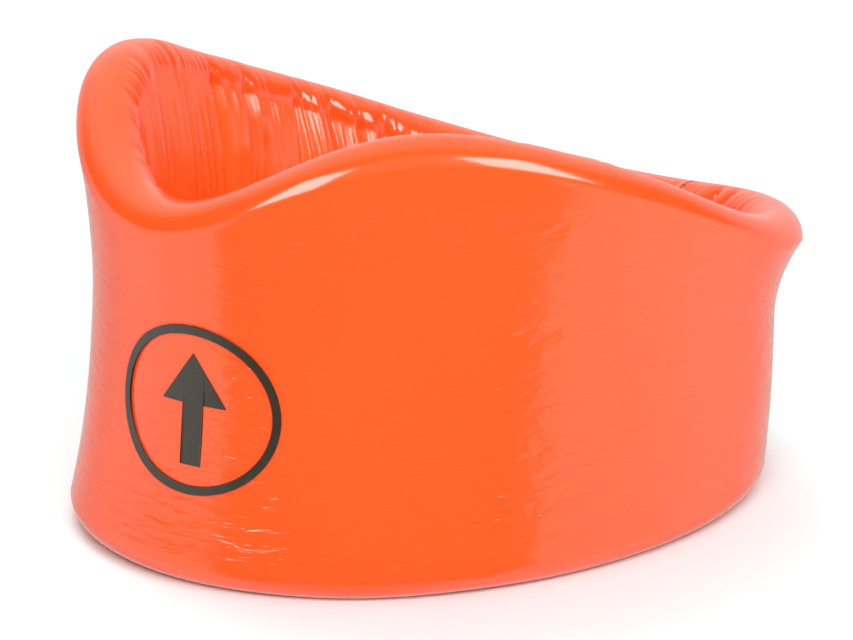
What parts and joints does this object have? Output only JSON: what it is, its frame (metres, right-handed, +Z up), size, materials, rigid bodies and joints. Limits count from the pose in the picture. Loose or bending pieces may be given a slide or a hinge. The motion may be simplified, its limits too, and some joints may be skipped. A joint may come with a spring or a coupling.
{
  "type": "cervical collar",
  "caption": "Soft foam neck collar in a glossy cover, scooped under the chin and low at the nape, gathered inside and closed at the back by a hook-and-loop tab.",
  "frame": {"origin": "floor level under the middle of the collar's bounding box", "axes": "+Z up along the neck, -Y to the front (chin), +X to the wearer's left"},
  "size_m": [0.1296, 0.1584, 0.0914],
  "materials": {
    "cover_vinyl": "glossy soft vinyl",
    "lining_vinyl": "glossy soft vinyl, gathered",
    "foam": "open-cell foam",
    "closure_webbing": "woven nylon tape",
    "loop_pile": "soft loop pile",
    "hook_tape": "hook tape",
    "thread": "twisted thread",
    "print_ink": "printed ink"
  },
  "bodies": {
    "front": {"foam_core_front": "foam", "outer_cover_front": "cover_vinyl", "inner_lining_front": "lining_vinyl", "front_mark_ring": "print_ink", "front_mark_arrow": "print_ink"},
    "left_jaw": {"foam_core_left_jaw": "foam", "outer_cover_left_jaw": "cover_vinyl", "inner_lining_left_jaw": "lining_vinyl"},
    "left_side": {"foam_core_left_side": "foam", "outer_cover_left_side": "cover_vinyl", "inner_lining_left_side": "lining_vinyl"},
    "left_rear": {"foam_core_left_rear": "foam", "outer_cover_left_rear": "cover_vinyl", "inner_lining_left_rear": "lining_vinyl", "end_skin_left": "cover_vinyl", "tab_base": "closure_webbing", "tab_stitching": "thread"},
    "right_jaw": {"foam_core_right_jaw": "foam", "outer_cover_right_jaw": "cover_vinyl", "inner_lining_right_jaw": "lining_vinyl"},
    "right_side": {"foam_core_right_side": "foam", "outer_cover_right_side": "cover_vinyl", "inner_lining_right_side": "lining_vinyl"},
    "right_rear": {"foam_core_right_rear": "foam", "outer_cover_right_rear": "cover_vinyl", "inner_lining_right_rear": "lining_vinyl", "end_skin_right": "cover_vinyl", "loop_panel": "loop_pile", "loop_stitching": "thread"},
    "peel_tab": {"closure_tab": "closure_webbing", "hook_patch": "hook_tape"}
  },
  "joints": [
    {"name": "spread_left_jaw", "type": "hinge", "parent": "front", "child": "left_jaw", "pos_m": [0.04722, -0.05432, 0.03], "axis": [0, 0, -1], "range_deg": [0, 40], "stiffness_Nm_per_rad": 0.05},
    {"name": "spread_left_side", "type": "hinge", "parent": "left_jaw", "child": "left_side", "pos_m": [0.06433, -0.0053, 0.03], "axis": [0, 0, -1], "range_deg": [0, 40], "stiffness_Nm_per_rad": 0.05},
    {"name": "spread_left_rear", "type": "hinge", "parent": "left_side", "child": "left_rear", "pos_m": [0.05588, 0.04558, 0.03], "axis": [0, 0, -1], "range_deg": [0, 40], "stiffness_Nm_per_rad": 0.05},
    {"name": "spread_right_jaw", "type": "hinge", "parent": "front", "child": "right_jaw", "pos_m": [-0.04722, -0.05432, 0.03], "axis": [0, 0, 1], "range_deg": [0, 40], "stiffness_Nm_per_rad": 0.05},
    {"name": "spread_right_side", "type": "hinge", "parent": "right_jaw", "child": "right_side", "pos_m": [-0.06433, -0.0053, 0.03], "axis": [0, 0, 1], "range_deg": [0, 40], "stiffness_Nm_per_rad": 0.05},
    {"name": "spread_right_rear", "type": "hinge", "parent": "right_side", "child": "right_rear", "pos_m": [-0.05588, 0.04558, 0.03], "axis": [0, 0, 1], "range_deg": [0, 40], "stiffness_Nm_per_rad": 0.05},
    {"name": "tab_peel", "type": "hinge", "parent": "left_rear", "child": "peel_tab", "pos_m": [0.00952, 0.07654, 0.02], "axis": [0, 0, -1], "range_deg": [0, 140]}
  ],
  "couplings": [
    {"joint": "spread_left_side", "follows": "spread_left_jaw", "ratio": 1},
    {"joint": "spread_left_rear", "follows": "spread_left_jaw", "ratio": 1},
    {"joint": "spread_right_jaw", "follows": "spread_left_jaw", "ratio": 1},
    {"joint": "spread_right_side", "follows": "spread_left_jaw", "ratio": 1},
    {"joint": "spread_right_rear", "follows": "spread_left_jaw", "ratio": 1}
  ]
}
